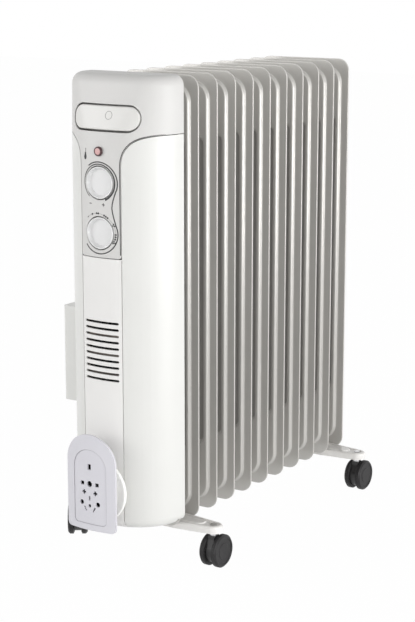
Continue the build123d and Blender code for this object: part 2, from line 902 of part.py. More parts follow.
# Cord winder: a spool on the centre panel and an arched, bowed front plate
plate_y = fin_y0 - plate_front
plate_centre = plate_y + plate_radius
flange_y = fin_y0 - box_depth - winder_flange_gap
hub_height = winder_hub_top - winder_hub_bottom
hub_middle = fin_lift + (winder_hub_top + winder_hub_bottom) / 2
with BuildPart() as winder_spool:
    with BuildSketch(front_plane(winder_seat_y)):
        with Locations((0, winder_z)):
            Circle(winder_seat)
    extrude(amount=box_depth - winder_seat_depth + winder_flange_gap)
    with BuildSketch(front_plane(flange_y)):
        with Locations((0, winder_z)):
            Circle(winder_flange_radius)
    extrude(amount=winder_flange_thick)
    fillet(winder_spool.edges().group_by(SortBy.LENGTH)[-1], winder_flange_round)
    with BuildSketch(front_plane(flange_y - winder_flange_thick)):
        with Locations((0, hub_middle)):
            SlotOverall(hub_height, 2 * winder_hub_half, rotation=90)
            hub_inside = (hub_height - 2 * winder_hub_wall, 2 * (winder_hub_half - winder_hub_wall))
            SlotOverall(*hub_inside, rotation=90, mode=Mode.SUBTRACT)
    extrude(amount=plate_stand)
    with BuildSketch(up_plane(box_bottom - plate_height)):
        with Locations((0, plate_centre)):
            Circle(plate_radius - plate_thick)
    extrude(amount=4 * plate_height, mode=Mode.INTERSECT)
save(winder_spool.part, "winder_spool")


def arch(width, bottom, top, corner):
    """Tombstone outline: straight sides, a half-round top and eased lower corners."""
    half = width / 2
    with BuildSketch(front_plane(plate_centre)) as outline:
        with BuildLine():
            Polyline((half, top - half), (half, bottom), (-half, bottom), (-half, top - half))
            ThreePointArc((-half, top - half), (0, top), (half, top - half))
        make_face()
        fillet(outline.vertices().group_by(Axis.Y)[0], corner)
    return outline.sketch


def plate_shell(radius, thick):
    with BuildPart() as shell:
        with BuildSketch(up_plane(0)):
            with Locations((0, plate_centre)):
                Circle(radius)
                Circle(radius - thick, mode=Mode.SUBTRACT)
        extrude(amount=2 * plate_height)
    return shell.part


plate_low = fin_lift + plate_bottom
plate_top = plate_low + plate_height
inset_size = (plate_width - 2 * plate_inset, plate_low + plate_inset_bottom, plate_top - plate_inset_top)
with BuildPart() as inset_cut:
    add(plate_shell(plate_radius + plate_thick, plate_thick + plate_inset_depth))
    add(arch(*inset_size, plate_corner))
    extrude(amount=2 * plate_radius, dir=forward, mode=Mode.INTERSECT)

with BuildPart() as winder_plate:
    add(plate_shell(plate_radius, plate_thick))
    add(arch(plate_width, plate_low, plate_top, plate_corner))
    extrude(amount=2 * plate_radius, dir=forward, mode=Mode.INTERSECT)
    add(inset_cut.part, mode=Mode.SUBTRACT)
    with BuildSketch(front_plane(plate_centre - plate_radius / 2)):
        with Locations((0, plate_low + key_rise)):
            Rectangle(*key_hole)
        with Locations((0, plate_low + socket_rise)):
            Circle(socket_hole)
            with GridLocations(blade_spread, 0, 2, 1):
                Rectangle(*blade_hole)
        with Locations((0, plate_low + cross_rise)):
            with GridLocations(cross_spread, 0, 2, 1):
                Rectangle(cross_length, cross_width)
                Rectangle(cross_width, cross_length)
        with Locations((0, plate_low + middle_rise)):
            SlotOverall(*middle_slot, rotation=90)
        with Locations((0, plate_low + pin_rise)):
            with GridLocations(pin_spread, 0, 2, 1):
                Circle(pin_hole)
        with Locations((0, plate_low + small_rise)):
            Circle(small_hole)
        for side in (-1, 1):
            with Locations((side * slant_spread / 2, plate_low + slant_rise)):
                SlotOverall(*slant_slot, rotation=side * slant_angle)
    extrude(amount=plate_radius, mode=Mode.SUBTRACT)
save(winder_plate.part, "winder_plate")

# Side housing: a hollow moulding on the left cover, beside the fan
with BuildPart() as side_housing:
    with BuildSketch(up_plane(fin_lift + housing_bottom)) as housing_plan:
        housing_corner = (-box_half - housing_reach, fin_y0 - housing_front)
        with Locations(housing_corner):
            Rectangle(box_half, housing_front + box_back, align=(Align.MIN, Align.MIN))
        fillet(housing_plan.vertices().group_by(Axis.X)[0], housing_round)
    extrude(amount=housing_height)
    with BuildSketch(up_plane(fin_lift + housing_bottom + wall)) as housing_hollow:
        with Locations((housing_corner[0] + wall, housing_corner[1] + wall)):
            Rectangle(box_half, housing_front + box_back - 2 * wall, align=(Align.MIN, Align.MIN))
    extrude(amount=housing_height - 2 * wall, mode=Mode.SUBTRACT)
    add(box_form(-touch_gap), mode=Mode.SUBTRACT)
save(side_housing.part, "side_housing")


# Feet: pressed channels across the pack, with a beaded rim and a saddle under the hub
def foot_outline(y, height, inset):
    half = foot_width / 2 - inset
    tip = foot_tip - inset
    with BuildSketch(up_plane(height)) as outline:
        with BuildLine():
            for side in (-1, 1):
                shoulder = side * foot_shoulder
                end = side * foot_half
                Line((shoulder, y - side * half), (-shoulder, y - side * half))
                Line((shoulder, y - half), (end, y - tip))
                Line((shoulder, y + half), (end, y + tip))
                ThreePointArc((end, y - tip), (end + side * tip, y), (end, y + tip))
        make_face()
    return outline.sketch


u_bolt_reach = hub_radius + u_bolt_fit + u_bolt_rod


def make_foot(y):
    saddle_high = foot_top - foot_dish
    saddle_low = saddle_high - foot_sheet
    cradle = hub_radius + saddle_fit
    cradle_half = cradle * 0.75
    cradle_edge = lower_hub - sqrt(cradle**2 - cradle_half**2)
    with BuildPart() as foot:
        add(foot_outline(y, foot_bottom, 0))
        extrude(amount=foot_height)
        fillet(foot.edges().group_by(Axis.Z)[-1], foot_round)
        add(foot_outline(y, foot_bottom, foot_sheet))
        extrude(amount=foot_height - foot_dish - foot_sheet, mode=Mode.SUBTRACT)
        add(foot_outline(y, foot_top, foot_bead))
        extrude(amount=-foot_dish, mode=Mode.SUBTRACT)
        with BuildSketch(up_plane(foot_top - foot_dish)):
            with Locations((-emboss_middle, y), (emboss_middle, y)):
                SlotOverall(emboss_length, emboss_width)
        extrude(amount=emboss_rise, taper=emboss_taper)
        with BuildSketch(front_plane(y + saddle_length / 2)):
            with BuildLine():
                Polyline(
                    (cradle_half, cradle_edge),
                    (saddle_half, saddle_high),
                    (saddle_half, saddle_low),
                    (-saddle_half, saddle_low),
                    (-saddle_half, saddle_high),
                    (-cradle_half, cradle_edge),
                )
                cradle_ends = ((-cradle_half, cradle_edge), (cradle_half, cradle_edge))
                ThreePointArc(cradle_ends[0], (0, lower_hub - cradle), cradle_ends[1])
            make_face()
        extrude(amount=saddle_length)
        with BuildSketch(up_plane(foot_bottom)):
            with Locations((-u_bolt_reach, y), (u_bolt_reach, y)):
                Circle(u_bolt_rod + saddle_fit)
        extrude(amount=lower_hub - foot_bottom, mode=Mode.SUBTRACT)
        with BuildSketch(up_plane(foot_bottom)):
            with Locations((-foot_half, y), (foot_half, y)):
                Circle(stem_radius + running_fit)
        extrude(amount=foot_height, mode=Mode.SUBTRACT)
    return foot.part


save(make_foot(front_foot_y), "front_foot")
save(make_foot(rear_foot_y), "rear_foot")

with BuildPart() as u_bolts:
    for y in (front_foot_y, rear_foot_y):
        with BuildLine(Plane.XZ.offset(-y)) as u_path:
            up_leg = Line((-u_bolt_reach, u_bolt_tail), (-u_bolt_reach, lower_hub))
            over = ThreePointArc(up_leg @ 1, (0, lower_hub + u_bolt_reach), (u_bolt_reach, lower_hub))
            Line(over @ 1, (u_bolt_reach, u_bolt_tail))
        with BuildSketch(Plane((-u_bolt_reach, y, u_bolt_tail))):
            Circle(u_bolt_rod)
        sweep(path=u_path.wires()[0])
save(u_bolts.part, "u_bolts")

nut_top = foot_top - foot_dish - foot_sheet
with BuildPart() as wing_nuts:
    for y in (front_foot_y, rear_foot_y):
        for side in (-1, 1):
            with BuildSketch(up_plane(nut_top)):
                with Locations((side * u_bolt_reach, y)):
                    Circle(nut_radius)
                    Rectangle(nut_wing_thick, 2 * (nut_radius + nut_wing))
                    Circle(u_bolt_rod, mode=Mode.SUBTRACT)
            extrude(amount=-nut_height)
save(wing_nuts.part, "wing_nuts")

# Casters: a swivelling stem, a slim fork and a wheel on each side of it
wheel_inner = fork_thick / 2 + wheel_gap
wheel_outer = wheel_inner + wheel_thick
wheel_cap_face = wheel_thick - wheel_dish + wheel_cap_rise
axle_half = wheel_outer - axle_cover - slide_gap
stem_plate = foot_top - foot_dish


def make_caster(name, x, y, turn):
    axle_y = y + caster_trail
    swivel = Axis((x, y, 0), (0, 0, 1))
    with BuildPart() as fork:
        with BuildSketch(side_plane(x - fork_thick / 2)):
            with Locations((axle_y, wheel_radius)):
                Circle(fork_axle_radius)
            with Locations((y, fork_top - fork_neck_radius)):
                Circle(fork_neck_radius)
            make_hull()
            with Locations((y, fork_top - fork_neck_radius)):
                Rectangle(2 * fork_neck_radius, fork_neck_radius, align=(Align.CENTER, Align.MIN))
        extrude(amount=fork_thick)
        with BuildSketch(side_plane(x - fork_thick / 2)):
            with Locations((axle_y, wheel_radius)):
                Circle(axle_radius)
        extrude(amount=fork_thick, mode=Mode.SUBTRACT)
        with BuildSketch(up_plane(fork_top)):
            with Locations((x, y)):
                Circle(stem_radius)
        extrude(amount=-stem_depth, mode=Mode.SUBTRACT)
    save(fork.part.rotate(swivel, turn), f"{name}_fork")

    with BuildPart() as pins:
        with BuildSketch(Plane((x, y, 0), x_dir=(1, 0, 0), z_dir=forward)):
            with BuildLine():
                Polyline(
                    (0, fork_top - stem_depth),
                    (stem_radius, fork_top - stem_depth),
                    (stem_radius, fork_top),
                    (stem_collar, fork_top),
                    (stem_collar, stem_plate - foot_sheet - slide_gap),
                    (stem_radius, stem_plate - foot_sheet - slide_gap),
                    (stem_radius, stem_plate + slide_gap),
                    (stem_head, stem_plate + slide_gap),
                    (stem_head, stem_plate + slide_gap + stem_head_thick),
                    (0, stem_plate + slide_gap + stem_head_thick),
                    close=True,
                )
            make_face()
        revolve(axis=Axis((x, y, 0), (0, 0, 1)))
        with BuildSketch(side_plane(x - axle_half)):
            with Locations((axle_y, wheel_radius)):
                Circle(axle_radius)
        extrude(amount=2 * axle_half)
    save(pins.part.rotate(swivel, turn), f"{name}_pins")

    for side, place in ((-1, "left"), (1, "right")):
        hub_x = x + side * wheel_inner
        with BuildPart() as wheel:
            with BuildSketch(Plane((hub_x, axle_y, wheel_radius), x_dir=(side, 0, 0), z_dir=(0, -side, 0))):
                with BuildLine():
                    Polyline(
                        (0, 0),
                        (0, wheel_radius - wheel_edge),
                        (wheel_edge / 2, wheel_radius),
                        (wheel_thick - wheel_edge, wheel_radius),
                        (wheel_thick, wheel_radius - wheel_edge),
                        (wheel_thick, wheel_dish_radius),
                        (wheel_thick - wheel_dish, wheel_dish_radius - wheel_dish),
                        (wheel_thick - wheel_dish, wheel_cap_radius),
                        (wheel_cap_face, wheel_cap_radius - wheel_cap_rise),
                        (wheel_cap_face, 0),
                        close=True,
                    )
                make_face()
            revolve(axis=Axis((hub_x, axle_y, wheel_radius), (1, 0, 0)))
            with BuildSketch(side_plane(hub_x)):
                with Locations((axle_y, wheel_radius)):
                    Circle(axle_radius + running_fit)
            extrude(amount=side * (wheel_thick - axle_cover), mode=Mode.SUBTRACT)
        save(wheel.part.rotate(swivel, turn), f"{name}_{place}_wheel")


make_caster("front_left_caster", -foot_half, front_foot_y, front_left_turn)
make_caster("front_right_caster", foot_half, front_foot_y, 0)
make_caster("rear_left_caster", -foot_half, rear_foot_y, 0)
make_caster("rear_right_caster", foot_half, rear_foot_y, 0)
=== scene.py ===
import json
import math

import bmesh
import bpy
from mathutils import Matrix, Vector


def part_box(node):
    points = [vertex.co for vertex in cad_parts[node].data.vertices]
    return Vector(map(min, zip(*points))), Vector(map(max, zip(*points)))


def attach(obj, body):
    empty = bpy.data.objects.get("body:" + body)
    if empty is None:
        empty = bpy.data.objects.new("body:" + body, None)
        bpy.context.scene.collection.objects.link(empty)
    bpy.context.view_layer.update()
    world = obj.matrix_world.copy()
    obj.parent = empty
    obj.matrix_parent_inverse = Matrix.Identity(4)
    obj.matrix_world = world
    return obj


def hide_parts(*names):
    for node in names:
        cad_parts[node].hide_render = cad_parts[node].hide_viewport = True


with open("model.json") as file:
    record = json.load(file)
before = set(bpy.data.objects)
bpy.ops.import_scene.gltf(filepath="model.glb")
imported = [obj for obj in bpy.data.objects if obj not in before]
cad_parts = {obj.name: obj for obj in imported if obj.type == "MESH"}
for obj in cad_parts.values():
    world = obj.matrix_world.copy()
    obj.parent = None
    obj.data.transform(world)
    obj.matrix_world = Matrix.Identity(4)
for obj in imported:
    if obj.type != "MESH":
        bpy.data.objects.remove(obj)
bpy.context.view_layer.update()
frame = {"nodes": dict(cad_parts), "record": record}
nodes = frame["nodes"]
MM = 0.001


def srgb(red, green, blue):
    """A colour written as 0 to 255 on screen, as linear values with alpha."""

    def linear(value):
        value /= 255
        return value / 12.92 if value <= 0.04045 else ((value + 0.055) / 1.055) ** 2.4

    return (linear(red), linear(green), linear(blue), 1.0)


# Shader groups shared by the finishes
PATCH_DETAIL = 3.0
PATCH_SPREAD = (0.3, 0.7)
GRAIN_DETAIL = 2.0
GRAIN_SCALE = 900.0
GRAIN_DEPTH = 0.2 * MM


def group_tree(name, inputs, outputs):
    tree = bpy.data.node_groups.new(name, "ShaderNodeTree")
    for label, kind in inputs:
        tree.interface.new_socket(label, in_out="INPUT", socket_type=kind)
    for label, kind in outputs:
        tree.interface.new_socket(label, in_out="OUTPUT", socket_type=kind)
    start = tree.nodes.new("NodeGroupInput")
    end = tree.nodes.new("NodeGroupOutput")
    return tree, start, end


def tone_drift_group():
    """Slow drift in a finish: a colour between two tones and a roughness to go with it."""
    tree, start, end = group_tree(
        "tone_drift",
        [
            ("Low Tone", "NodeSocketColor"),
            ("High Tone", "NodeSocketColor"),
            ("Patch Scale", "NodeSocketFloat"),
            ("Roughness Low", "NodeSocketFloat"),
            ("Roughness High", "NodeSocketFloat"),
        ],
        [("Tone", "NodeSocketColor"), ("Roughness", "NodeSocketFloat")],
    )
    place = tree.nodes.new("ShaderNodeTexCoord")
    cloud = tree.nodes.new("ShaderNodeTexNoise")
    cloud.inputs["Detail"].default_value = PATCH_DETAIL
    tree.links.new(place.outputs["Object"], cloud.inputs["Vector"])
    tree.links.new(start.outputs["Patch Scale"], cloud.inputs["Scale"])
    spread = tree.nodes.new("ShaderNodeMapRange")
    spread.inputs["From Min"].default_value = PATCH_SPREAD[0]
    spread.inputs["From Max"].default_value = PATCH_SPREAD[1]
    tree.links.new(cloud.outputs["Fac"], spread.inputs["Value"])
    tones = tree.nodes.new("ShaderNodeMix")
    tones.data_type = "RGBA"
    tree.links.new(spread.outputs["Result"], tones.inputs["Factor"])
    tree.links.new(start.outputs["Low Tone"], tones.inputs["A"])
    tree.links.new(start.outputs["High Tone"], tones.inputs["B"])
    sheen = tree.nodes.new("ShaderNodeMapRange")
    tree.links.new(cloud.outputs["Fac"], sheen.inputs["Value"])
    tree.links.new(start.outputs["Roughness Low"], sheen.inputs["To Min"])
    tree.links.new(start.outputs["Roughness High"], sheen.inputs["To Max"])
    tree.links.new(tones.outputs["Result"], end.inputs["Tone"])
    tree.links.new(sheen.outputs["Result"], end.inputs["Roughness"])
    return tree


def fine_grain_group():
    """Height of a fine moulded or sprayed grain."""
    tree, start, end = group_tree(
        "fine_grain",
        [("Grain Scale", "NodeSocketFloat")],
        [("Height", "NodeSocketFloat")],
    )
    place = tree.nodes.new("ShaderNodeTexCoord")
    grain = tree.nodes.new("ShaderNodeTexNoise")
    grain.inputs["Detail"].default_value = GRAIN_DETAIL
    tree.links.new(place.outputs["Object"], grain.inputs["Vector"])
    tree.links.new(start.outputs["Grain Scale"], grain.inputs["Scale"])
    tree.links.new(grain.outputs["Fac"], end.inputs["Height"])
    return tree


TONE_DRIFT = tone_drift_group()
FINE_GRAIN = fine_grain_group()


def finish(name, low, high, roughness, patch=9.0, bump=0.0, **sockets):
    """A finish that drifts between two tones; other Principled sockets are plain numbers."""
    material = bpy.data.materials.new(name)
    material.use_nodes = True
    tree = material.node_tree
    shader = tree.nodes["Principled BSDF"]
    drift = tree.nodes.new("ShaderNodeGroup")
    drift.node_tree = TONE_DRIFT
    drift.inputs["Low Tone"].default_value = low
    drift.inputs["High Tone"].default_value = high
    drift.inputs["Patch Scale"].default_value = patch
    drift.inputs["Roughness Low"].default_value = roughness[0]
    drift.inputs["Roughness High"].default_value = roughness[1]
    tree.links.new(drift.outputs["Tone"], shader.inputs["Base Color"])
    tree.links.new(drift.outputs["Roughness"], shader.inputs["Roughness"])
    if bump:
        texture = tree.nodes.new("ShaderNodeGroup")
        texture.node_tree = FINE_GRAIN
        texture.inputs["Grain Scale"].default_value = GRAIN_SCALE
        relief = tree.nodes.new("ShaderNodeBump")
        relief.inputs["Strength"].default_value = bump
        relief.inputs["Distance"].default_value = GRAIN_DEPTH
        tree.links.new(texture.outputs["Height"], relief.inputs["Height"])
        tree.links.new(relief.outputs["Normal"], shader.inputs["Normal"])
    for label, value in sockets.items():
        shader.inputs[label.replace("_", " ")].default_value = value
    return material


fin_paint = finish(
    "fin_paint",
    srgb(197, 195, 191),
    srgb(200, 198, 194),
    (0.27, 0.29),
    patch=6,
    bump=0.04,
    Metallic=0.25,
    Specular_IOR_Level=0.3,
    Coat_Weight=0.3,
    Coat_Roughness=0.25,
)
# Painted shade: a darker copy of the fin paint for the sunken web floors on the fins' fronts,
# where shade falls between the fins
web_painted_shade = finish(
    "web_painted_shade",
    srgb(166, 164, 161),
    srgb(169, 167, 164),
    (0.36, 0.40),
    patch=6,
    bump=0.04,
    Metallic=0.2,
)
cover_gloss = finish(
    "cover_gloss",
    srgb(218, 218, 215),
    srgb(222, 222, 219),
    (0.36, 0.42),
    patch=5,
    Coat_Weight=0.3,
    Coat_Roughness=0.28,
)
fascia_silver = finish(
    "fascia_silver",
    srgb(206, 205, 203),
    srgb(211, 210, 208),
    (0.44, 0.50),
    patch=7,
    bump=0.04,
)
# Painted light: a lighter copy of the fascia's silver for the centre panel, whose face towards the
# front gets too little light
panel_painted_light = finish(
    "panel_painted_light",
    srgb(229, 228, 226),
    srgb(233, 232, 230),
    (0.30, 0.38),
    patch=7,
    bump=0.04,
)
grip_silver = finish(
    "grip_silver",
    srgb(218, 217, 214),
    srgb(222, 221, 218),
    (0.28, 0.36),
    bump=0.04,
)
knob_gloss = finish(
    "knob_gloss",
    srgb(221, 221, 221),
    srgb(228, 228, 228),
    (0.18, 0.25),
    Coat_Weight=0.5,
    Coat_Roughness=0.08,
)
plate_grey = finish(
    "plate_grey",
    srgb(208, 207, 213),
    srgb(214, 213, 219),
    (0.32, 0.42),
    bump=0.08,
)
spool_white = finish(
    "spool_white",
    srgb(249, 249, 246),
    srgb(252, 252, 249),
    (0.30, 0.38),
    bump=0.04,
)
foot_paint = finish(
    "foot_paint",
    srgb(233, 231, 228),
    srgb(238, 236, 233),
    (0.24, 0.32),
    Coat_Weight=0.5,
    Coat_Roughness=0.12,
)
wheel_black = finish(
    "wheel_black",
    srgb(36, 35, 36),
    srgb(46, 45, 46),
    (0.42, 0.52),
    patch=40,
    bump=0.15,
    Specular_IOR_Level=0.25,
)
black_plastic = finish(
    "black_plastic",
    srgb(32, 31, 32),
    srgb(42, 41, 42),
    (0.36, 0.48),
    patch=30,
    bump=0.1,
)
dark_plastic = finish(
    "dark_plastic",
    srgb(30, 30, 31),
    srgb(40, 40, 40),
    (0.45, 0.55),
    patch=20,
    bump=0.1,
)
# Painted shade: near-black for the hollow of the winder's spool behind the plug holes
hollow_shade = finish("hollow_shade", srgb(14, 14, 15), srgb(20, 20, 20), (0.6, 0.7), patch=20)
# Painted light: the pocket behind the grip is lightened to about the fascia's tone, so the deep
# gap round the grip looks less dark
pocket_painted_light = finish(
    "pocket_painted_light",
    srgb(208, 207, 204),
    srgb(214, 213, 210),
    (0.4, 0.5),
    bump=0.06,
)
bright_steel = finish(
    "bright_steel",
    srgb(204, 204, 205),
    srgb(218, 218, 219),
    (0.2, 0.3),
    patch=50,
    Metallic=1.0,
)
tinted_steel = finish(
    "tinted_steel",
    srgb(120, 112, 106),
    srgb(146, 138, 130),
    (0.35, 0.5),
    patch=40,
    Metallic=1.0,
)
sheet_metal = finish(
    "sheet_metal",
    srgb(196, 197, 199),
    srgb(210, 211, 213),
    (0.32, 0.42),
    patch=12,
    Metallic=1.0,
)
lamp_lens = finish(
    "lamp_lens",
    srgb(208, 158, 157),
    srgb(220, 177, 175),
    (0.12, 0.18),
    patch=200,
    Coat_Weight=0.6,
)
bezel_dark = finish("bezel_dark", srgb(62, 38, 41), srgb(76, 48, 50), (0.3, 0.4), patch=200)
print_ink = finish("print_ink", srgb(38, 38, 40), srgb(50, 50, 52), (0.5, 0.6), patch=120)
# Dark ink for printed marks, also used for the painted shade along the fascia's seam
print_and_shade_ink = finish("print_and_shade_ink", srgb(52, 52, 53), srgb(64, 64, 65), (0.5, 0.6), patch=120)
# Painted shade along the edge of the winder plate's sunken field
field_edge_painted_shade = finish("field_edge_painted_shade", srgb(176, 175, 180), srgb(182, 181, 186), (0.4, 0.5), patch=120)
ring_ink = finish("ring_ink", srgb(140, 139, 138), srgb(152, 151, 150), (0.5, 0.6), patch=120)

SLOT_FINISH = {
    "fin_paint": fin_paint,
    "fascia_silver": fascia_silver,
    "cover_white": cover_gloss,
    "handle_silver": grip_silver,
    "knob_silver": knob_gloss,
    "lamp_red": lamp_lens,
    "plate_grey": plate_grey,
    "spool_white": spool_white,
    "foot_paint": foot_paint,
    "wheel_black": wheel_black,
    "black_plastic": black_plastic,
    "dark_plastic": dark_plastic,
    "steel": bright_steel,
    "element_metal": tinted_steel,
    "shield_metal": sheet_metal,
}
for row in frame["record"]["subparts"]:
    mesh = nodes[row["node"]].data
    mesh.materials.clear()
    mesh.materials.append(SLOT_FINISH[row["material_slot"]])
# The handle pocket takes the painted light
nodes["handle_pocket"].data.materials[0] = pocket_painted_light
# The centre panel takes the lighter, painted-light copy of the fascia's silver
nodes["centre_panel"].data.materials[0] = panel_painted_light

# Painted shade: the hollow of the winder's spool lies in deep shade behind the plug holes, so its
# faces are painted near-black
SPOOL_INSIDE = 21.9 * MM
SPOOL_CENTRES = (110.0 * MM, 129.0 * MM)
SPOOL_FOOT = 9.5 * MM
spool = nodes["winder_spool"]
hollow_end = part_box("winder_spool")[1].y - SPOOL_FOOT
spool.data.materials.append(hollow_shade)
for face in spool.data.polygons:
    spot = spool.matrix_world @ face.center
    beyond = max(SPOOL_CENTRES[0] - spot.z, spot.z - SPOOL_CENTRES[1], 0)
    if spot.y < hollow_end and math.hypot(spot.x, beyond) < SPOOL_INSIDE:
        face.material_index = 1


def middle_y(node):
    low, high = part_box(node)
    return (low.y + high.y) / 2


def middle_z(node):
    low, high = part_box(node)
    return (low.z + high.z) / 2


def add_object(name, data):
    """A new object of the scene that shows this data."""
    thing = bpy.data.objects.new(name, data)
    bpy.context.scene.collection.objects.link(thing)
    return thing


def smooth_object(name, shell, *materials):
    """Turns a shell into a smooth object; the first material covers it unless a face says else."""
    bmesh.ops.recalc_face_normals(shell, faces=shell.faces)
    for face in shell.faces:
        face.smooth = True
    mesh = bpy.data.meshes.new(name)
    shell.to_mesh(mesh)
    shell.free()
    for material in materials:
        mesh.materials.append(material)
    return add_object(name, mesh)


def bridge(shell, loops):
    """Joins each loop of points to the next one with a band of faces."""
    for here, there in zip(loops, loops[1:]):
        count = len(here)
        for index in range(count):
            after = (index + 1) % count
            shell.faces.new((here[index], here[after], there[after], there[index]))


# Fins: two pressed sheets each, with a seamed rim, a rounded oil channel,
# a sunken web and a hub at both ends; sizes in millimetres
fin_low, fin_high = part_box("fin_02")
fin_pitch = (middle_y("fin_03") - middle_y("fin_02")) / MM
first_fin_y = middle_y("fin_02") / MM - fin_pitch
fin_half_width = fin_high.x / MM
fin_bottom = fin_low.z / MM
fin_top = fin_high.z / MM
SHEET_HALF = 1.2
OUTER_CORNER = 17.0
CHANNEL_HALF = 6.2
CHANNEL_START = 10.4
CHANNEL_LEAD = 0.4
CHANNEL_CORNER = 33.5
WEB_SIDE = 19.9
WEB_TOP = 84.5
WEB_BOTTOM = 94.5
WEB_LEAD = 0.5
WEB_CORNER = 6.0
WEB_HALF = 2.6
HUB_OUTER = 22.0
HUB_BORE = 17.0
HUB_INSET = 45.0
HUB_NOSE = 13.0
HUB_SUNK = 0.2
# Edge of the rim, as inset and height
RIM_EDGE = ((0.0, 0.75), (0.15, 1.05), (0.45, SHEET_HALF), (0.8, SHEET_HALF))
# Walls, as slope in degrees, radius of the hollow and radius of the shoulder
CHANNEL_WALL = (72, 1.3, 2.3)
WEB_WALL = (58, 1.2, 1.4)
# Flare of a hub, as growth in radius and distance from the channel's face
HUB_FLARE = ((0.0, 1.6), (0.5, 0.6), (1.6, -0.1))


def pressed_step(rise, slope, hollow, shoulder, steps=6):
    """A step in sheet metal as (run, height): a hollow, a straight slope and a round shoulder."""
    steep = math.radians(slope)
    points = []
    for index in range(steps + 1):
        turn = steep * index / steps
        points.append((hollow * math.sin(turn), hollow * (1 - math.cos(turn))))
    straight = rise - (hollow + shoulder) * (1 - math.cos(steep))
    reach = points[-1][0] + straight / math.tan(steep) + shoulder * math.sin(steep)
    for index in range(steps + 1):
        turn = steep * (1 - index / steps)
        points.append((reach - shoulder * math.sin(turn), rise - shoulder * (1 - math.cos(turn))))
    return points


def rounded_loop(side, top, bottom, corner, steps=10):
    """Points (x, z) of a rounded rectangle, inset from the fin's outline."""
    right = fin_half_width - side - corner
    high = fin_top - top - corner
    low = fin_bottom + bottom + corner
    points = []
    for quarter, x, z in ((0, right, high), (1, -right, high), (2, -right, low), (3, right, low)):
        for index in range(steps + 1):
            turn = math.pi / 2 * (quarter + index / steps)
            points.append((x + corner * math.cos(turn), z + corner * math.sin(turn)))
    return points


def sheet_rings():
    """Rings of one pressed sheet from its rim to its web, each a loop and its height."""
    rings = []
    for inset, height in RIM_EDGE:
        rings.append((rounded_loop(inset, inset, inset, OUTER_CORNER - inset), height))
    channel = [(-CHANNEL_LEAD, 0.0)] + pressed_step(CHANNEL_HALF - SHEET_HALF, *CHANNEL_WALL)
    for run, height in channel:
        inset = CHANNEL_START + run
        loop = rounded_loop(inset, inset, inset, CHANNEL_CORNER - inset)
        rings.append((loop, SHEET_HALF + height))
    web = [(-WEB_LEAD, 0.0)] + pressed_step(CHANNEL_HALF - WEB_HALF, *WEB_WALL)
    for run, height in reversed(web):
        loop = rounded_loop(WEB_SIDE - run, WEB_TOP - run, WEB_BOTTOM - run, WEB_CORNER + run)
        rings.append((loop, WEB_HALF + height))
    return rings


def hub_tube(shell, y, z, front, rear, segments=40):
    """A hub that runs from front to rear, with a bore and a flare where it leaves the fin."""
    flare = [(HUB_OUTER + growth, CHANNEL_HALF + away) for growth, away in HUB_FLARE]
    ends = [(HUB_OUTER, -front)] + [(radius, -depth) for radius, depth in flare]
    if rear > CHANNEL_HALF:
        ends += reversed(flare)
    ends += [(HUB_OUTER, rear), (HUB_BORE, rear), (HUB_BORE, -front)]
    loops = []
    for radius, depth in ends:
        loop = []
        for index in range(segments):
            turn = 2 * math.pi * index / segments
            spot = Vector((radius * math.cos(turn), y + depth, z + radius * math.sin(turn)))
            loop.append(shell.verts.new(spot * MM))
        loops.append(loop)
    bridge(shell, loops + loops[:1])


def pressed_fin(number, count):
    """One fin; the last one has no hub at its rear, and the first one no painted shade on its web
    in front.
    """
    y = first_fin_y + (number - 1) * fin_pitch
    shell = bmesh.new()
    rings = sheet_rings()
    loops = []
    for facing, order in ((-1, reversed(rings)), (1, rings)):
        for loop, height in order:
            depth = y + facing * height
            loops.append([shell.verts.new(Vector((x, depth, z)) * MM) for x, z in loop])
    bridge(shell, loops)
    web = shell.faces.new(loops[0])
    shell.faces.new(loops[-1])
    # The front web of every fin but the first takes the painted shade
    if number > 1:
        web.material_index = 1
    front = HUB_NOSE if number == 1 else fin_pitch / 2
    rear = CHANNEL_HALF - HUB_SUNK if number == count else fin_pitch / 2
    for z in (fin_bottom + HUB_INSET, fin_top - HUB_INSET):
        hub_tube(shell, y, z, front, rear)
    fin = smooth_object(f"pressed_fin_{number:02d}", shell, fin_paint, web_painted_shade)
    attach(fin, "heater")
    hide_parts(f"fin_{number:02d}")


fin_count = sum(1 for node in nodes if node.startswith("fin_"))
for fin_number in range(1, fin_count + 1):
    pressed_fin(fin_number, fin_count)


# Printed marks: a node tree lays a line or a row of dots on a moulded surface as a thin film
FILM = 0.06 * MM
WELD = 0.001 * MM
DOT_CORNERS = 16
DRAW_AHEAD = 50 * MM
DRAW_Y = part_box("front_fascia")[0].y - DRAW_AHEAD
MARK_INPUTS = [
    ("Surface", "NodeSocketObject"),
    ("Film", "NodeSocketFloat"),
    ("Ink", "NodeSocketMaterial"),
]


def mark_tree(name, inputs):
    """A tree with its start node and the keys of its inputs."""
    tree = bpy.data.node_groups.new(name, "GeometryNodeTree")
    tree.interface.new_socket("Geometry", in_out="INPUT", socket_type="NodeSocketGeometry")
    keys = {}
    for label, kind in inputs:
        keys[label] = tree.interface.new_socket(label, in_out="INPUT", socket_type=kind).identifier
    tree.interface.new_socket("Geometry", in_out="OUTPUT", socket_type="NodeSocketGeometry")
    return tree, tree.nodes.new("NodeGroupInput"), keys


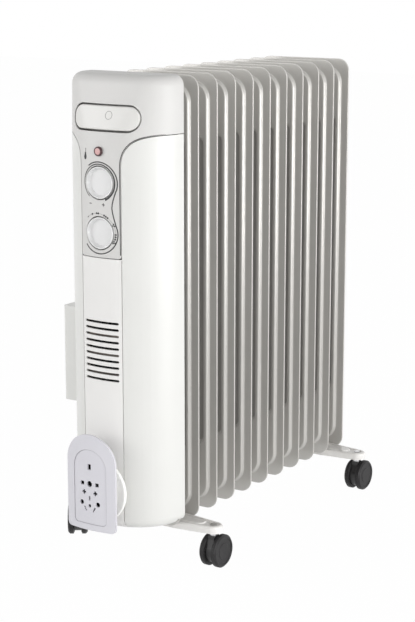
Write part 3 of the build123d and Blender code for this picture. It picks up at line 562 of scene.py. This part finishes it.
def lay_on_surface(tree, start, geometry):
    """Casts every point straight back on the surface and lifts it off by the film's height."""
    target = tree.nodes.new("GeometryNodeObjectInfo")
    target.transform_space = "RELATIVE"
    tree.links.new(start.outputs["Surface"], target.inputs["Object"])
    cast = tree.nodes.new("GeometryNodeRaycast")
    cast.inputs["Ray Direction"].default_value = (0, 1, 0)
    cast.inputs["Ray Length"].default_value = 1.0
    tree.links.new(target.outputs["Geometry"], cast.inputs["Target Geometry"])
    lift = tree.nodes.new("ShaderNodeVectorMath")
    lift.operation = "SCALE"
    tree.links.new(cast.outputs["Hit Normal"], lift.inputs[0])
    tree.links.new(start.outputs["Film"], lift.inputs["Scale"])
    spot = tree.nodes.new("ShaderNodeVectorMath")
    tree.links.new(cast.outputs["Hit Position"], spot.inputs[0])
    tree.links.new(lift.outputs["Vector"], spot.inputs[1])
    move = tree.nodes.new("GeometryNodeSetPosition")
    tree.links.new(geometry, move.inputs["Geometry"])
    tree.links.new(spot.outputs["Vector"], move.inputs["Position"])
    return move.outputs["Geometry"]


def close_film(tree, start, geometry):
    """Gives the laid film a thickness, joins it up and hands it the ink."""
    raise_up = tree.nodes.new("GeometryNodeExtrudeMesh")
    raise_up.inputs["Individual"].default_value = False
    tree.links.new(geometry, raise_up.inputs["Mesh"])
    tree.links.new(start.outputs["Film"], raise_up.inputs["Offset Scale"])
    under = tree.nodes.new("GeometryNodeFlipFaces")
    tree.links.new(geometry, under.inputs["Mesh"])
    both = tree.nodes.new("GeometryNodeJoinGeometry")
    tree.links.new(raise_up.outputs["Mesh"], both.inputs["Geometry"])
    tree.links.new(under.outputs["Mesh"], both.inputs["Geometry"])
    weld = tree.nodes.new("GeometryNodeMergeByDistance")
    weld.inputs["Distance"].default_value = WELD
    tree.links.new(both.outputs["Geometry"], weld.inputs["Geometry"])
    solid = tree.nodes.new("GeometryNodeRealizeInstances")
    tree.links.new(weld.outputs["Geometry"], solid.inputs["Geometry"])
    ink = tree.nodes.new("GeometryNodeSetMaterial")
    tree.links.new(solid.outputs["Geometry"], ink.inputs["Geometry"])
    tree.links.new(start.outputs["Ink"], ink.inputs["Material"])
    end = tree.nodes.new("NodeGroupOutput")
    tree.links.new(ink.outputs["Geometry"], end.inputs["Geometry"])


def line_tree():
    """A ribbon along the drawn edges, as wide as each point's line_width."""
    tree, start, keys = mark_tree("printed_line", MARK_INPUTS)
    path = tree.nodes.new("GeometryNodeMeshToCurve")
    tree.links.new(start.outputs["Geometry"], path.inputs["Mesh"])
    level = tree.nodes.new("GeometryNodeSetCurveNormal")
    level.mode = "FREE"
    level.inputs["Normal"].default_value = (0, -1, 0)
    tree.links.new(path.outputs["Curve"], level.inputs["Curve"])
    width = tree.nodes.new("GeometryNodeInputNamedAttribute")
    width.data_type = "FLOAT"
    width.inputs["Name"].default_value = "line_width"
    nib = tree.nodes.new("GeometryNodeCurvePrimitiveLine")
    nib.inputs["Start"].default_value = (0, -0.5, 0)
    nib.inputs["End"].default_value = (0, 0.5, 0)
    ribbon = tree.nodes.new("GeometryNodeCurveToMesh")
    tree.links.new(level.outputs["Curve"], ribbon.inputs["Curve"])
    tree.links.new(nib.outputs["Curve"], ribbon.inputs["Profile Curve"])
    tree.links.new(width.outputs["Attribute"], ribbon.inputs["Scale"])
    laid = lay_on_surface(tree, start, ribbon.outputs["Mesh"])
    close_film(tree, start, laid)
    return tree, keys


def dot_tree():
    """A round spot at each drawn point."""
    inputs = [("Dot Radius", "NodeSocketFloat")] + MARK_INPUTS
    tree, start, keys = mark_tree("printed_dots", inputs)
    disc = tree.nodes.new("GeometryNodeMeshCircle")
    disc.fill_type = "TRIANGLE_FAN"
    disc.inputs["Vertices"].default_value = DOT_CORNERS
    tree.links.new(start.outputs["Dot Radius"], disc.inputs["Radius"])
    spots = tree.nodes.new("GeometryNodeInstanceOnPoints")
    spots.inputs["Rotation"].default_value = (math.pi / 2, 0, 0)
    tree.links.new(start.outputs["Geometry"], spots.inputs["Points"])
    tree.links.new(disc.outputs["Mesh"], spots.inputs["Instance"])
    flat = tree.nodes.new("GeometryNodeRealizeInstances")
    tree.links.new(spots.outputs["Instances"], flat.inputs["Geometry"])
    laid = lay_on_surface(tree, start, flat.outputs["Geometry"])
    close_film(tree, start, laid)
    return tree, keys


LINE_TREE, LINE_KEYS = line_tree()
DOT_TREE, DOT_KEYS = dot_tree()


def grown_mark(name, source, tree, keys, values):
    """Runs a node tree on a drawn mesh and keeps the result as a plain mesh."""
    mark = add_object(name, source)
    modifier = mark.modifiers.new("marks", "NODES")
    modifier.node_group = tree
    for label, value in values.items():
        modifier[keys[label]] = value
    bpy.context.view_layer.update()
    shaped = mark.evaluated_get(bpy.context.evaluated_depsgraph_get())
    mesh = bpy.data.meshes.new_from_object(shaped)
    mark.modifiers.remove(modifier)
    mark.data = mesh
    shell = bmesh.new()
    shell.from_mesh(mesh)
    bmesh.ops.recalc_face_normals(shell, faces=shell.faces)
    shell.to_mesh(mesh)
    shell.free()
    return mark


def printed_line(
    name,
    points,
    widths,
    ink,
    surface="front_fascia",
    body="heater",
    closed=False,
):
    """Points and widths in millimetres, seen from the front as (x, z)."""
    source = bpy.data.meshes.new(name)
    spots = [(x * MM, DRAW_Y, z * MM) for x, z in points]
    edges = [(i, i + 1) for i in range(len(spots) - 1)]
    if closed:
        edges.append((len(spots) - 1, 0))
    source.from_pydata(spots, edges, [])
    attribute = source.attributes.new("line_width", "FLOAT", "POINT")
    for index in range(len(spots)):
        width = widths[index] if isinstance(widths, list) else widths
        attribute.data[index].value = width * MM
    values = {"Surface": nodes[surface], "Film": FILM, "Ink": ink}
    mark = grown_mark(name, source, LINE_TREE, LINE_KEYS, values)
    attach(mark, body)


def printed_dots(name, points, radius, ink):
    """Dots on the fascia; points and radius in millimetres, as (x, z)."""
    source = bpy.data.meshes.new(name)
    source.from_pydata([(x * MM, DRAW_Y, z * MM) for x, z in points], [], [])
    fascia = nodes["front_fascia"]
    values = {"Dot Radius": radius * MM, "Surface": fascia, "Film": FILM, "Ink": ink}
    mark = grown_mark(name, source, DOT_TREE, DOT_KEYS, values)
    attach(mark, "heater")


def on_arc(centre_z, radius, degrees, centre_x=0.0):
    """A point of a dial, with degrees counted clockwise from the top."""
    turn = math.radians(degrees)
    return (centre_x + radius * math.sin(turn), centre_z + radius * math.cos(turn))


def between(t, a, b, c, d):
    """Catmull-Rom value that goes from b to c as t goes from 0 to 1."""
    square = (2 * a - 5 * b + 4 * c - d) * t**2
    cube = (3 * b - a - 3 * c + d) * t**3
    return 0.5 * (2 * b + (c - a) * t + square + cube)


def smooth_path(anchors, steps=4):
    """Smooth path through the anchor points."""
    ends = [anchors[0]] + anchors + [anchors[-1]]
    path = []
    for four in zip(ends, ends[1:], ends[2:], ends[3:]):
        for step in range(steps):
            path.append(tuple(between(step / steps, *values) for values in zip(*four)))
    path.append(anchors[-1])
    return path


# Heights of the dials, and all marks round them, in millimetres
dial_top = middle_z("thermostat_knob") / MM
dial_low = middle_z("selector_knob") / MM

# Border line that wraps both dials, with a waist between them
BORDER_RISE = 25.9
BORDER_REACH = 26.4
BORDER_WAIST = 18.8
BORDER_WAIST_LIFT = 1.0
BORDER_WIDTH = 1.5
BORDER_TOP_ARC = range(-38, 119, 12)
BORDER_LOW_ARC = range(66, 241, 12)


def on_border(centre_z, degrees):
    x, z = on_arc(centre_z, BORDER_RISE, degrees)
    return (x * BORDER_REACH / BORDER_RISE, z)


border = [on_border(dial_top, angle) for angle in BORDER_TOP_ARC]
border += [(BORDER_WAIST, (dial_top + dial_low) / 2 + BORDER_WAIST_LIFT)]
border += [on_border(dial_low, angle) for angle in BORDER_LOW_ARC]
printed_line("dial_border", smooth_path(border), BORDER_WIDTH, print_and_shade_ink)

# Painted shade along the seam between the fascia and the right cover, where the gap lies in
# shadow: straight beside the dials, then round the top of the cover, with a tapered end
SEAM_SHADE = 1.1
SEAM_MARGIN = 0.15
SEAM_HEIGHTS = (dial_low - 26.0, dial_low, dial_top - 20.0, dial_top)
SEAM_INSIDE = 20.0
SEAM_OUTSIDE = 40.0
SEAM_CENTRE = (78.0, dial_top + 2.0)
SEAM_REACH = 75.0
SEAM_ARC = range(-84, -5, 6)
SEAM_TIP = 0.25
SEAM_TAPER = 20


def on_fascia(x, z):
    """Whether the fascia, and not the right cover, is seen at a point of the front."""
    depths = []
    for node in ("front_fascia", "right_cover"):
        start = Vector((x * MM, DRAW_Y, z * MM))
        hit, spot, _, _ = nodes[node].ray_cast(start, Vector((0, 1, 0)))
        depths.append(spot.y if hit else math.inf)
    return depths[0] < depths[1]


def fascia_edge(inside, outside, halvings=24):
    """Where the fascia ends between two points, moved in by half the shade and a margin."""
    for _ in range(halvings):
        middle = ((inside[0] + outside[0]) / 2, (inside[1] + outside[1]) / 2)
        if on_fascia(*middle):
            inside = middle
        else:
            outside = middle
    across = Vector((inside[0] - outside[0], inside[1] - outside[1])).normalized()
    step = across * (SEAM_SHADE / 2 + SEAM_MARGIN)
    return (inside[0] + step.x, inside[1] + step.y)


seam = [fascia_edge((SEAM_INSIDE, z), (SEAM_OUTSIDE, z)) for z in SEAM_HEIGHTS]
for angle in SEAM_ARC:
    outer = on_arc(SEAM_CENTRE[1], SEAM_REACH, angle, SEAM_CENTRE[0])
    seam.append(fascia_edge((max(outer[0], SEAM_INSIDE), outer[1]), SEAM_CENTRE))
seam = smooth_path(seam)
seam_widths = []
for index in range(len(seam)):
    share = min(1.0, SEAM_TIP + (len(seam) - index) / SEAM_TAPER)
    seam_widths.append(SEAM_SHADE * share)
printed_line("seam_shade", seam, seam_widths, print_and_shade_ink)

# Scale of the thermostat: a line that grows from a hair to a wedge, and the marks at its ends
SCALE_RADIUS = 23.9
SCALE_ARC = range(-139, 157, 5)
SCALE_HAIR = 1.0
SCALE_GROWTH = 1.3
SCALE_CURVE = 1.5
SCALE_MARK_WIDTH = 0.9
SCALE_MARKS = {
    "thermostat_minus": ((-15.5, -26.4), (-11.9, -26.4)),
    "thermostat_plus_bar": ((4.4, -27.0), (8.6, -27.0)),
    "thermostat_plus_post": ((6.5, -29.1), (6.5, -24.9)),
}
scale = []
scale_widths = []
for index, angle in enumerate(SCALE_ARC):
    width = SCALE_HAIR + SCALE_GROWTH * (index / len(SCALE_ARC)) ** SCALE_CURVE
    scale_widths.append(width)
    scale.append(on_arc(dial_top, SCALE_RADIUS - width / 2, angle))
printed_line("thermostat_scale", scale, scale_widths, print_ink)
for mark_name, mark_ends in SCALE_MARKS.items():
    stroke = [(x, dial_top + rise) for x, rise in mark_ends]
    printed_line(mark_name, stroke, SCALE_MARK_WIDTH, print_and_shade_ink)

# Marks of the selector: off, three heat steps, fan, and heat with fan, on one thin track
# that lies further out towards its left end
TRACK_RADIUS = 23.6
TRACK_DRIFT = 2.9
TRACK_DRIFT_START = 30.0
TRACK_DRIFT_SPAN = 75.0
TRACK_ARC = range(-46, 122, 4)
TRACK_WIDTH = 0.35
OFF_ARC = (-46, -40)
OFF_WIDTH = 1.0
HEAT_ANGLES = (-25, -9, -3, 18, 25, 32, 91, 98, 105)
HEAT_DOT = 1.3
FAN_ANGLES = (62, 116)
PETAL_ANGLES = (0, 120, 240)
PETAL_REACH = 1.5
PETAL_DOT = 1.1


def on_track(degrees):
    share = max(0.0, TRACK_DRIFT_START - degrees) / TRACK_DRIFT_SPAN
    return on_arc(dial_low, TRACK_RADIUS + TRACK_DRIFT * share, degrees)


track = [on_track(angle) for angle in TRACK_ARC]
printed_line("selector_track", track, TRACK_WIDTH, ring_ink)
printed_line("selector_off", [on_track(angle) for angle in OFF_ARC], OFF_WIDTH, print_and_shade_ink)
heat_steps = [on_track(angle) for angle in HEAT_ANGLES]
printed_dots("selector_steps", heat_steps, HEAT_DOT, print_ink)
petals = []
for fan_angle in FAN_ANGLES:
    x, z = on_track(fan_angle)
    petals += [on_arc(z, PETAL_REACH, angle, x) for angle in PETAL_ANGLES]
printed_dots("selector_fans", petals, PETAL_DOT, print_ink)

# Thermometer sign beside the lamp: a drop, as rise and width, and a thin tip
SIGN_X = -22.0
SIGN_RISE = 31.2
SIGN_DROP = ((-3.4, 1.8), (-2.4, 3.4), (0.0, 4.3), (1.8, 3.6), (3.0, 2.5), (5.2, 2.3))
SIGN_TIP = 10.4
SIGN_TIP_WIDTH = 1.2
sign_z = dial_top + SIGN_RISE
drop = [(SIGN_X, sign_z + rise) for rise, _ in SIGN_DROP]
printed_line("thermometer_drop", drop, [width for _, width in SIGN_DROP], print_and_shade_ink)
tip = [drop[-1], (SIGN_X, sign_z + SIGN_TIP)]
printed_line("thermometer_tip", tip, SIGN_TIP_WIDTH, ring_ink)

# Painted shade along the edge of the winder plate's sunken field, which has an arched top
FIELD_HALF = 25.1
FIELD_CORNER = 5.6
FIELD_TOP_INSET = 19.9
FIELD_BOTTOM_INSET = 8.4
FIELD_SHADE = 0.7
FIELD_FOOT_PARTS = 12
plate_low, plate_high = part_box("winder_plate")
field_low = plate_low.z / MM + FIELD_BOTTOM_INSET
arch_z = plate_high.z / MM - FIELD_TOP_INSET - FIELD_HALF
corner_x = FIELD_HALF - FIELD_CORNER
corner_z = field_low + FIELD_CORNER
field = [on_arc(arch_z, FIELD_HALF, angle) for angle in range(-90, 91, 6)]
field += [on_arc(corner_z, FIELD_CORNER, angle, corner_x) for angle in range(90, 181, 15)]
for part in range(1, FIELD_FOOT_PARTS):
    field.append((corner_x * (1 - 2 * part / FIELD_FOOT_PARTS), field_low))
field += [on_arc(corner_z, FIELD_CORNER, angle, -corner_x) for angle in range(180, 271, 15)]
printed_line(
    "plate_field_edge",
    field,
    FIELD_SHADE,
    field_edge_painted_shade,
    surface="winder_plate",
    closed=True,
)

# Thin ring on the grip
RING_X = 8.0
RING_RISE = 3.4
RING_RADIUS = 4.9
RING_WIDTH = 0.6
ring_z = middle_z("handle_grip") / MM + RING_RISE
ring = [on_arc(ring_z, RING_RADIUS, angle, RING_X) for angle in range(0, 360, 10)]
printed_line(
    "grip_ring",
    ring,
    RING_WIDTH,
    ring_ink,
    surface="handle_grip",
    body="handle",
    closed=True,
)


def turned_ring(name, profile, centre, material, segments=48):
    """A ring that faces the front; its profile is (radius, height before the centre)."""
    shell = bmesh.new()
    loops = []
    for index in range(segments):
        turn = 2 * math.pi * index / segments
        loop = []
        for radius, height in profile:
            offset = Vector((radius * math.cos(turn), -height, radius * math.sin(turn))) * MM
            loop.append(shell.verts.new(centre + offset))
        loops.append(loop)
    bridge(shell, loops + loops[:1])
    return smooth_object(name, shell, material)


# Bezel round the lamp: a turned ring that covers the edge of the lens
BEZEL_PROFILE = (
    (4.1, 0.15),
    (4.5, 0.45),
    (5.2, 0.35),
    (5.9, -0.6),
    (6.1, -2.4),
    (5.4, -2.4),
    (4.6, -0.9),
)
lamp_face = Vector((0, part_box("indicator_lamp")[0].y, middle_z("indicator_lamp")))
lamp_bezel = turned_ring("lamp_bezel", BEZEL_PROFILE, lamp_face, bezel_dark)
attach(lamp_bezel, "heater")


# Floor and light, in metres and watts; rays that see the surroundings see plain white
FLOOR_REACH = 8.0
FLOOR_WHITE = 0.985
FLOOR_TONE = 0.9
FLOOR_ROUGHNESS = 0.9
WORLD_LEVEL = 0.84
WORLD_OVERHEAD = 0.22
CEILING_RANGE = (0.3, 0.9)
# Soft lamps: name, place, aim, size and power
SOFT_LAMPS = (
    ("key", (2.6, -1.5, 1.1), (0, -0.1, 0.3), (1.6, 1.2), 20),
    ("side", (2.3, 0.0, 0.3), (0, 0.0, 0.2), (1.4, 0.55), 22),
    ("fill", (-2.0, -2.4, 1.1), (0, -0.1, 0.35), (1.8, 1.6), 32),
)


def seen_directly(tree):
    """One for rays of the camera, of reflections and of clear materials, else zero."""
    path = tree.nodes.new("ShaderNodeLightPath")
    value = path.outputs["Is Camera Ray"]
    for label in ("Is Glossy Ray", "Is Transmission Ray"):
        either = tree.nodes.new("ShaderNodeMath")
        either.operation = "MAXIMUM"
        tree.links.new(value, either.inputs[0])
        tree.links.new(path.outputs[label], either.inputs[1])
        value = either.outputs[0]
    return value


def blend_shaders(tree, share, first, second, output):
    """Leads a mix of two shaders, with a share of the second one, to the output."""
    blend = tree.nodes.new("ShaderNodeMixShader")
    tree.links.new(share, blend.inputs["Fac"])
    tree.links.new(first.outputs[0], blend.inputs[1])
    tree.links.new(second.outputs[0], blend.inputs[2])
    tree.links.new(blend.outputs[0], tree.nodes[output].inputs["Surface"])


def stage_floor():
    mesh = bpy.data.meshes.new("studio_floor")
    corners = ((-1, -1), (1, -1), (1, 1), (-1, 1))
    spots = [(x * FLOOR_REACH, y * FLOOR_REACH, 0) for x, y in corners]
    mesh.from_pydata(spots, [], [(0, 1, 2, 3)])
    floor = add_object("studio_floor", mesh)
    material = bpy.data.materials.new("floor_white")
    material.use_nodes = True
    tree = material.node_tree
    plain = tree.nodes["Principled BSDF"]
    plain.inputs["Base Color"].default_value = (FLOOR_TONE, FLOOR_TONE, FLOOR_TONE, 1)
    plain.inputs["Roughness"].default_value = FLOOR_ROUGHNESS
    glow = tree.nodes.new("ShaderNodeEmission")
    glow.inputs["Strength"].default_value = 1.0
    share = tree.nodes.new("ShaderNodeMath")
    share.operation = "MULTIPLY"
    share.inputs[1].default_value = FLOOR_WHITE
    tree.links.new(seen_directly(tree), share.inputs[0])
    blend_shaders(tree, share.outputs[0], plain, glow, "Material Output")
    mesh.materials.append(material)


def studio_world():
    """Even light from all sides that falls off towards the ceiling."""
    world = bpy.data.worlds.new("studio")
    bpy.context.scene.world = world
    world.use_nodes = True
    tree = world.node_tree
    base = tree.nodes["Background"]
    base.inputs["Color"].default_value = (1, 1, 1, 1)
    place = tree.nodes.new("ShaderNodeTexCoord")
    parts = tree.nodes.new("ShaderNodeSeparateXYZ")
    tree.links.new(place.outputs["Generated"], parts.inputs["Vector"])
    ceiling = tree.nodes.new("ShaderNodeMapRange")
    ceiling.inputs["From Min"].default_value = CEILING_RANGE[0]
    ceiling.inputs["From Max"].default_value = CEILING_RANGE[1]
    ceiling.inputs["To Min"].default_value = WORLD_LEVEL
    ceiling.inputs["To Max"].default_value = WORLD_OVERHEAD
    tree.links.new(parts.outputs["Z"], ceiling.inputs["Value"])
    tree.links.new(ceiling.outputs["Result"], base.inputs["Strength"])
    white = tree.nodes.new("ShaderNodeBackground")
    white.inputs["Color"].default_value = (1, 1, 1, 1)
    white.inputs["Strength"].default_value = 1.0
    blend_shaders(tree, seen_directly(tree), base, white, "World Output")


def soft_lamp(name, place, aim, size, power):
    data = bpy.data.lights.new(name, "AREA")
    data.shape = "RECTANGLE"
    data.size, data.size_y = size
    data.energy = power
    lamp = add_object(name, data)
    lamp.location = place
    lamp.rotation_euler = (Vector(aim) - Vector(place)).to_track_quat("-Z", "Y").to_euler()


stage_floor()
studio_world()
for lamp_row in SOFT_LAMPS:
    soft_lamp(*lamp_row)

# Camera at the photograph's place, measured from the bottom of the first fin
SENSOR_WIDTH = 36.0
FOCAL_PIXELS = 1663.58
LONG_SIDE_PIXELS = 622
CAMERA_FROM_FIN = Vector((1.24600, -1.69268, 0.73379))
CAMERA_DIP = 12.21
CAMERA_TURN = 33.703
CAMERA_FAR = 50

camera_data = bpy.data.cameras.new("camera")
camera_data.sensor_width = SENSOR_WIDTH
camera_data.lens = FOCAL_PIXELS / LONG_SIDE_PIXELS * SENSOR_WIDTH
camera_data.clip_end = CAMERA_FAR
camera = add_object("camera", camera_data)
camera.location = Vector((0, first_fin_y, fin_bottom)) * MM + CAMERA_FROM_FIN
camera.rotation_euler = (math.radians(90 - CAMERA_DIP), 0, math.radians(CAMERA_TURN))
bpy.context.scene.camera = camera
bpy.context.scene.view_settings.view_transform = "Standard"
